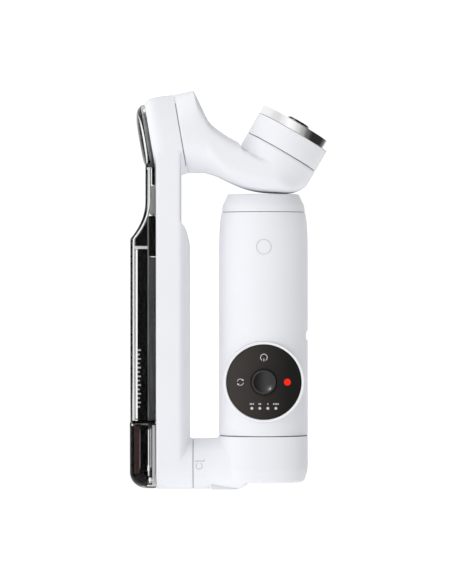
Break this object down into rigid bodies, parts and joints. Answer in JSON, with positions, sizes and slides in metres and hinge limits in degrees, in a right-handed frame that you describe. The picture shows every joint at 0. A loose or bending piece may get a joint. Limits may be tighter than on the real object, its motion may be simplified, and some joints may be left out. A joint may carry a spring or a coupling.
{
  "type": "gimbal stabilizer",
  "caption": "Folding three-axis phone stabilizer, folded shut: handle with round control disc, pan motor, fold hinge, arm with clear cover, roll and tilt motors",
  "frame": {"origin": "middle of the bottom of the whole object's box, folded", "axes": "+Z along the handle, away from the pan motor; the control disc faces -Y; the folded arm is on the -X side"},
  "size_m": [0.081, 0.036, 0.1606],
  "materials": {
    "white_plastic": "fine matt moulding, bluish white",
    "black_plastic": "matt black",
    "grey_plastic": "satin dark grey",
    "control_black": "satin black with printed symbols",
    "soft_rubber": "matt, soft to the touch",
    "polished_chrome": "polished",
    "steel": "fine turned",
    "copper_winding": "lacquered copper wire on a steel stack",
    "circuit_board": "green solder mask",
    "cell_wrap": "shrink wrap",
    "clear_plastic": "clear, polished",
    "tinted_plastic": "smoky brown, polished"
  },
  "bodies": {
    "handle": {"handle_sleeve": "white_plastic", "control_bezel": "white_plastic", "main_board": "circuit_board", "light_guide": "clear_plastic", "joystick_housing": "black_plastic", "trigger_pin": "steel", "trigger_spring": "steel", "usb_c_socket": "steel", "battery_cell_left": "cell_wrap", "battery_cell_right": "cell_wrap", "rod_collar": "black_plastic", "rod_outer_tube": "steel", "rod_middle_tube": "steel", "rod_inner_tube": "steel", "tripod_cap": "white_plastic", "tripod_hub": "black_plastic", "tripod_thread_insert": "steel", "tripod_leg_1": "black_plastic", "tripod_leg_2": "black_plastic", "tripod_leg_3": "black_plastic", "pan_stator": "copper_winding", "pan_stator_plate": "black_plastic", "pan_bearing": "steel"},
    "disc_ring": {"disc_pivot_ring": "black_plastic"},
    "disc": {"control_disc": "control_black"},
    "stick_yoke": {"joystick_yoke": "black_plastic"},
    "stick": {"joystick_stick": "black_plastic", "joystick_cap": "soft_rubber"},
    "trigger": {"trigger": "white_plastic"},
    "pan": {"pan_housing": "white_plastic", "pan_magnet_ring": "steel", "pan_shaft": "steel", "fold_shaft": "steel", "fold_cam": "steel"},
    "flap": {"shoe_flap": "soft_rubber"},
    "arm": {"fold_nut": "steel", "fold_end_cap": "polished_chrome", "arm_frame": "white_plastic", "flex_cable": "circuit_board", "arm_liner": "grey_plastic", "arm_core": "black_plastic", "clear_cover": "clear_plastic", "arm_end_cap": "tinted_plastic", "roll_stator": "copper_winding", "roll_bearing": "steel", "roll_dome": "clear_plastic", "roll_back_plate": "black_plastic"},
    "roll": {"roll_magnet_ring": "steel", "roll_shaft": "steel", "roll_arm": "white_plastic", "tilt_stator": "copper_winding", "tilt_bearing": "steel"},
    "tilt": {"tilt_housing": "white_plastic", "tilt_magnet_ring": "steel", "tilt_shaft": "steel", "chrome_ring": "polished_chrome", "clamp_magnet": "steel", "mount_plate": "black_plastic", "locating_post": "polished_chrome"}
  },
  "joints": [
    {"name": "pan_turn", "type": "hinge", "parent": "handle", "child": "pan", "pos_m": [0.01345, 0, 0.0102], "axis": [0, 0, 1], "range_deg": [-161, 173]},
    {"name": "arm_fold", "type": "hinge", "parent": "pan", "child": "arm", "pos_m": [-0.01506, 0, 0.0102], "axis": [-1, 0, 0], "range_deg": [0, 180]},
    {"name": "roll_turn", "type": "hinge", "parent": "arm", "child": "roll", "pos_m": [-0.02005, 0, 0.14345], "axis": [0.9857, 0, 0.1685], "range_deg": [-120, 211]},
    {"name": "tilt_turn", "type": "hinge", "parent": "roll", "child": "tilt", "pos_m": [0.02074, 0, 0.1362], "axis": [0.5, 0, 0.866], "range_deg": [-101, 78]},
    {"name": "disc_rock_x", "type": "hinge", "parent": "handle", "child": "disc_ring", "pos_m": [0.01345, -0.0138, 0.04355], "axis": [1, 0, 0], "range_deg": [-1.5, 1.5], "stiffness_Nm_per_rad": 0.4},
    {"name": "disc_rock_z", "type": "hinge", "parent": "disc_ring", "child": "disc", "pos_m": [0.01345, -0.0138, 0.04355], "axis": [0, 0, 1], "range_deg": [-1.5, 1.5], "stiffness_Nm_per_rad": 0.4},
    {"name": "stick_tip_x", "type": "hinge", "parent": "handle", "child": "stick_yoke", "pos_m": [0.01345, -0.0118, 0.04355], "axis": [1, 0, 0], "range_deg": [-8, 8], "stiffness_Nm_per_rad": 0.03},
    {"name": "stick_tip_z", "type": "hinge", "parent": "stick_yoke", "child": "stick", "pos_m": [0.01345, -0.0118, 0.04355], "axis": [0, 0, 1], "range_deg": [-8, 8], "stiffness_Nm_per_rad": 0.03},
    {"name": "trigger_pull", "type": "hinge", "parent": "handle", "child": "trigger", "pos_m": [0.01345, 0.011, 0.0364], "axis": [1, 0, 0], "range_deg": [0, 8], "stiffness_Nm_per_rad": 0.15, "springref_deg": -5.73},
    {"name": "flap_open", "type": "hinge", "parent": "pan", "child": "flap", "pos_m": [-0.00775, 0, 0.0002], "axis": [0, 1, 0], "range_deg": [0, 80]}
  ]
}
